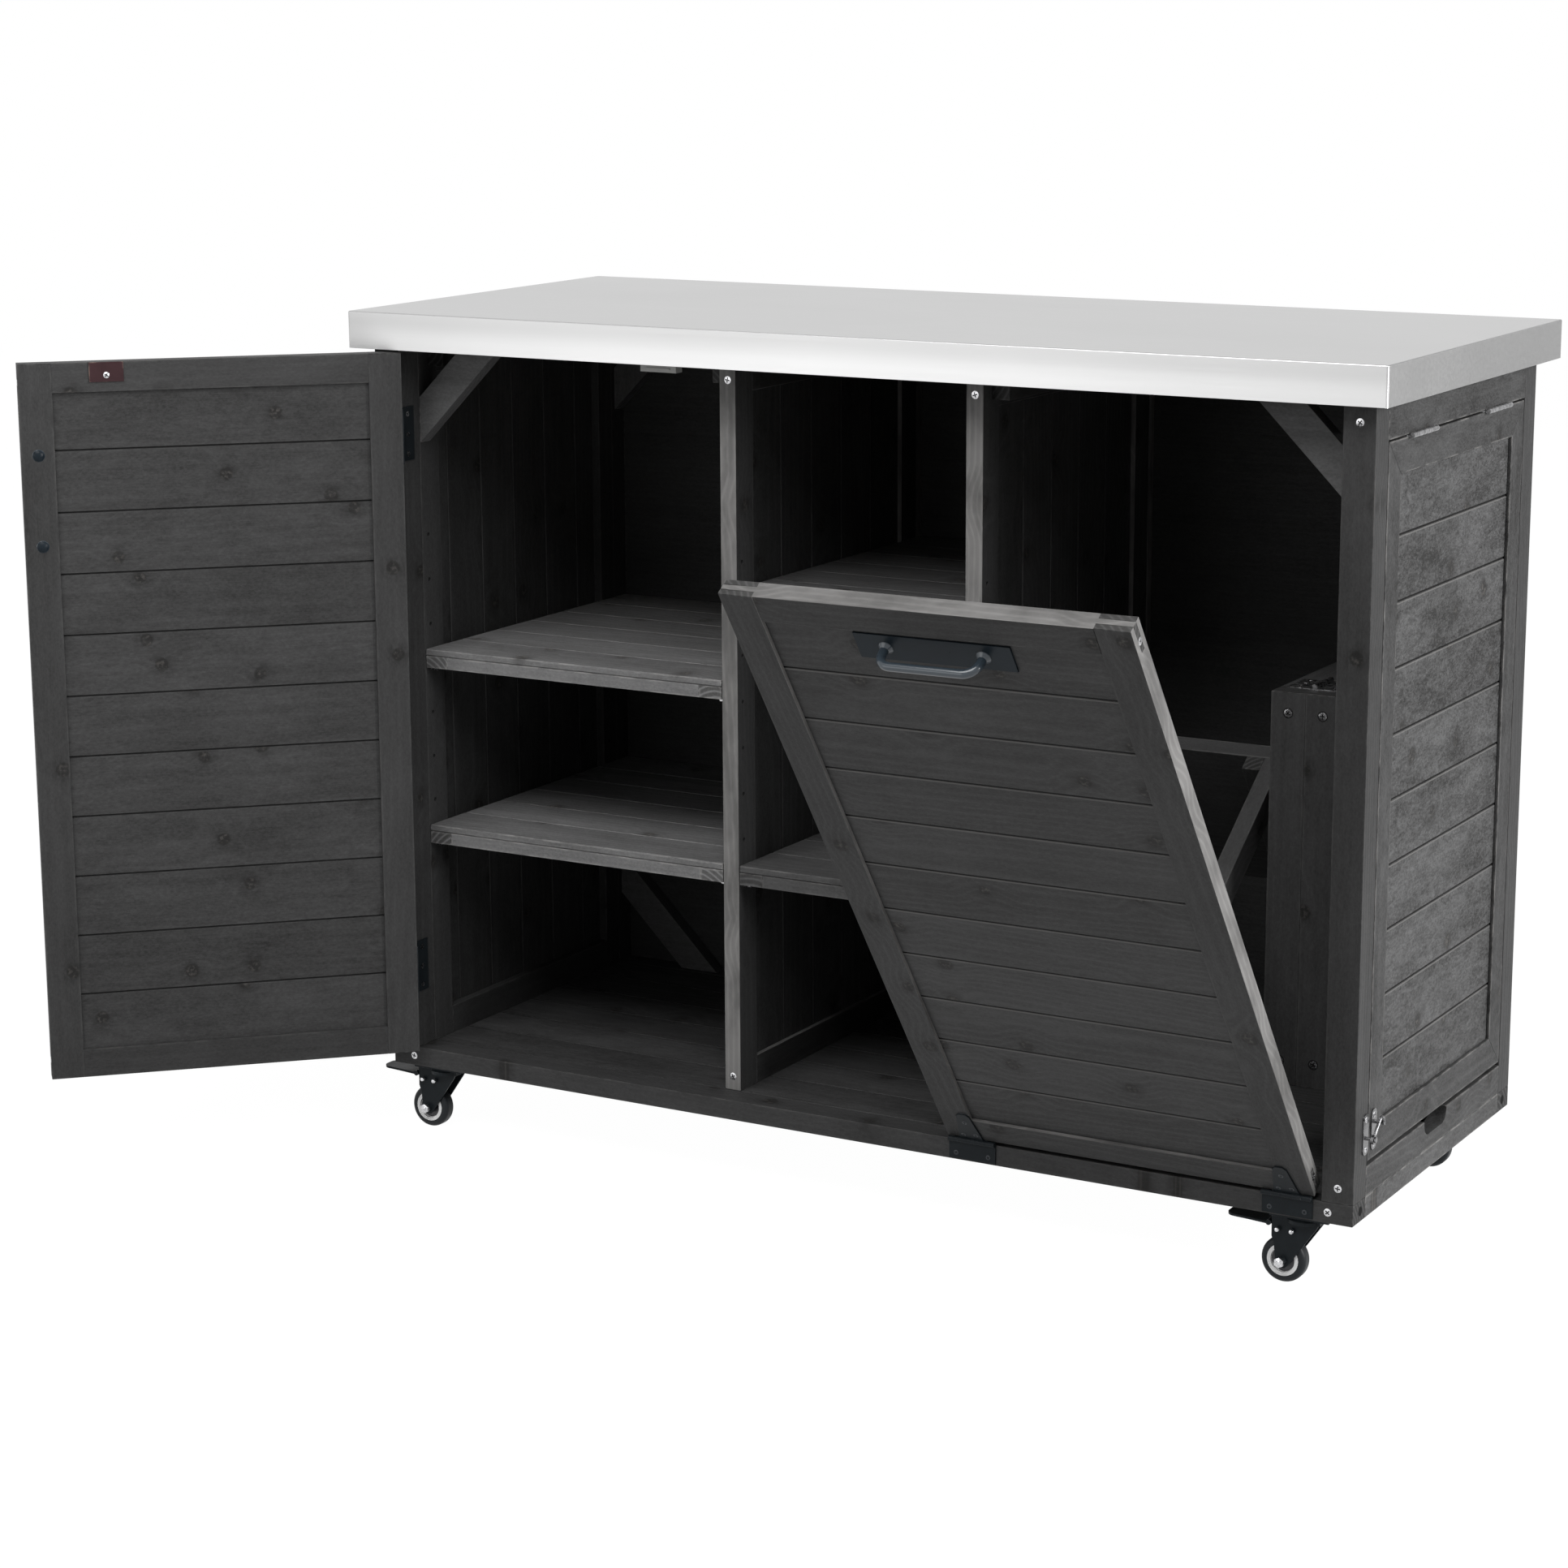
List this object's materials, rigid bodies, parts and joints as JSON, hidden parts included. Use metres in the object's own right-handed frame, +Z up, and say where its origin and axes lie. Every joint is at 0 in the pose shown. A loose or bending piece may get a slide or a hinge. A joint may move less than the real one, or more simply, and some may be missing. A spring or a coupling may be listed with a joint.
{
  "type": "grill cart with storage",
  "caption": "Grey stained wooden grill cart with steel worktop, swing door, open shelves, tilt-out waste door, side flap table with folding leg, and swivel casters.",
  "frame": {"origin": "middle of the bounding box of the whole cart, its two front doors open as at rest, on the floor under the wheels", "axes": "+X to the cart's right along the worktop's long edge, +Y from the doors to the back, +Z up"},
  "size_m": [1.5066, 0.9808, 0.971],
  "materials": {
    "stained_pine": "charcoal grey stain with open grain",
    "stained_plywood": "charcoal grey stain",
    "core_board": "raw board",
    "stainless_sheet": "brushed",
    "black_hardware": "blue black powder coat",
    "galvanised_steel": "galvanised",
    "caster_wheel": "smooth black tyre on a light hub",
    "zinc_screws": "zinc plated",
    "catch_case": "satin",
    "bronzed_plate": "bronzed"
  },
  "bodies": {
    "left_door": {"left_door_frame": "stained_pine", "left_door_boards": "stained_pine", "left_door_striker": "bronzed_plate", "left_door_handle": "black_hardware", "left_door_hinge_wings": "black_hardware"},
    "tilt_door": {"tilt_door_frame": "stained_pine", "tilt_door_boards": "stained_pine", "tilt_door_handle": "black_hardware", "tilt_hinge_straps": "black_hardware", "waste_rack": "stained_pine", "waste_rack_board": "stained_plywood"},
    "side_flap": {"flap_frame": "stained_pine", "flap_boards": "stained_pine", "flap_hinge_leaves": "galvanised_steel", "latch_flap_plate": "galvanised_steel"},
    "folding_leg": {"upper_leg_frame": "stained_pine", "lower_leg_frame": "stained_pine", "leg_hinges": "galvanised_steel"},
    "latch_hook": {"latch_hook": "galvanised_steel"},
    "cabinet": {"worktop_skin": "stainless_sheet", "worktop_core": "core_board", "top_frame": "stained_pine", "base_frame": "stained_pine", "deck_boards": "stained_pine", "post_front_left": "stained_pine", "post_front_right": "stained_pine", "post_back_left": "stained_pine", "post_back_right": "stained_pine", "corner_braces": "stained_pine", "left_side_frame": "stained_pine", "left_side_boards": "stained_pine", "back_panel": "stained_plywood", "upper_side_rail": "stained_pine", "lower_side_board": "stained_pine", "divider_left_frame": "stained_pine", "divider_left_boards": "stained_pine", "divider_right_frame": "stained_pine", "divider_right_boards": "stained_pine", "shelf_left_upper": "stained_pine", "shelf_left_lower": "stained_pine", "shelf_middle_upper": "stained_pine", "shelf_middle_lower": "stained_pine", "shelf_pins": "zinc_screws", "magnetic_catch": "catch_case", "body_screws": "zinc_screws", "left_door_hinge_leaves": "black_hardware", "tilt_hinge_plates": "black_hardware", "flap_hinge_fixed_leaves": "galvanised_steel", "latch_post_plate": "galvanised_steel", "caster_plates": "black_hardware"},
    "caster_front_left": {"fork_front_left": "black_hardware"},
    "wheel_front_left": {"wheel_front_left": "caster_wheel"},
    "pedal_front_left": {"pedal_front_left": "black_hardware"},
    "caster_front_right": {"fork_front_right": "black_hardware"},
    "wheel_front_right": {"wheel_front_right": "caster_wheel"},
    "pedal_front_right": {"pedal_front_right": "black_hardware"},
    "caster_back_left": {"fork_back_left": "black_hardware"},
    "wheel_back_left": {"wheel_back_left": "caster_wheel"},
    "caster_back_right": {"fork_back_right": "black_hardware"},
    "wheel_back_right": {"wheel_back_right": "caster_wheel"}
  },
  "joints": [
    {"name": "left_door_swing", "type": "hinge", "parent": "cabinet", "child": "left_door", "pos_m": [-0.44104, -0.01483, 0.5155], "axis": [0, 0, 1], "range_deg": [-30, 135.7]},
    {"name": "tilt_door_swing", "type": "hinge", "parent": "cabinet", "child": "tilt_door", "pos_m": [0.47826, -0.01483, 0.1032], "axis": [1, 0, 0], "range_deg": [-35.5, 0]},
    {"name": "side_flap_lift", "type": "hinge", "parent": "cabinet", "child": "side_flap", "pos_m": [0.73696, 0.22787, 0.889], "axis": [0, 1, 0], "range_deg": [-90, 0]},
    {"name": "leg_unfold", "type": "hinge", "parent": "side_flap", "child": "folding_leg", "pos_m": [0.67746, 0.22787, 0.1977], "axis": [0, 1, 0], "range_deg": [-90, 0]},
    {"name": "latch_hook_turn", "type": "hinge", "parent": "cabinet", "child": "latch_hook", "pos_m": [0.74326, 0.01537, 0.168], "axis": [1, 0, 0], "range_deg": [0, 120]},
    {"name": "swivel_front_left", "type": "hinge", "parent": "cabinet", "child": "caster_front_left", "pos_m": [-0.41724, 0.01137, 0.0732], "axis": [0, 0, 1], "continuous": true},
    {"name": "roll_front_left", "type": "hinge", "parent": "caster_front_left", "child": "wheel_front_left", "pos_m": [-0.43924, 0.01137, 0.025], "axis": [0, 1, 0], "continuous": true},
    {"name": "brake_front_left", "type": "hinge", "parent": "caster_front_left", "child": "pedal_front_left", "pos_m": [-0.45454, 0.01137, 0.0652], "axis": [0, 1, 0], "range_deg": [-16, 0]},
    {"name": "swivel_front_right", "type": "hinge", "parent": "cabinet", "child": "caster_front_right", "pos_m": [0.67376, 0.01137, 0.0732], "axis": [0, 0, 1], "continuous": true},
    {"name": "roll_front_right", "type": "hinge", "parent": "caster_front_right", "child": "wheel_front_right", "pos_m": [0.65176, 0.01137, 0.025], "axis": [0, 1, 0], "continuous": true},
    {"name": "brake_front_right", "type": "hinge", "parent": "caster_front_right", "child": "pedal_front_right", "pos_m": [0.63646, 0.01137, 0.0652], "axis": [0, 1, 0], "range_deg": [-16, 0]},
    {"name": "swivel_back_left", "type": "hinge", "parent": "cabinet", "child": "caster_back_left", "pos_m": [-0.41724, 0.44437, 0.0732], "axis": [0, 0, 1], "continuous": true},
    {"name": "roll_back_left", "type": "hinge", "parent": "caster_back_left", "child": "wheel_back_left", "pos_m": [-0.43924, 0.44437, 0.025], "axis": [0, 1, 0], "continuous": true},
    {"name": "swivel_back_right", "type": "hinge", "parent": "cabinet", "child": "caster_back_right", "pos_m": [0.67376, 0.44437, 0.0732], "axis": [0, 0, 1], "continuous": true},
    {"name": "roll_back_right", "type": "hinge", "parent": "caster_back_right", "child": "wheel_back_right", "pos_m": [0.65176, 0.44437, 0.025], "axis": [0, 1, 0], "continuous": true}
  ],
  "couplings": [
    {"joint": "leg_unfold", "follows": "side_flap_lift", "ratio": 1}
  ]
}
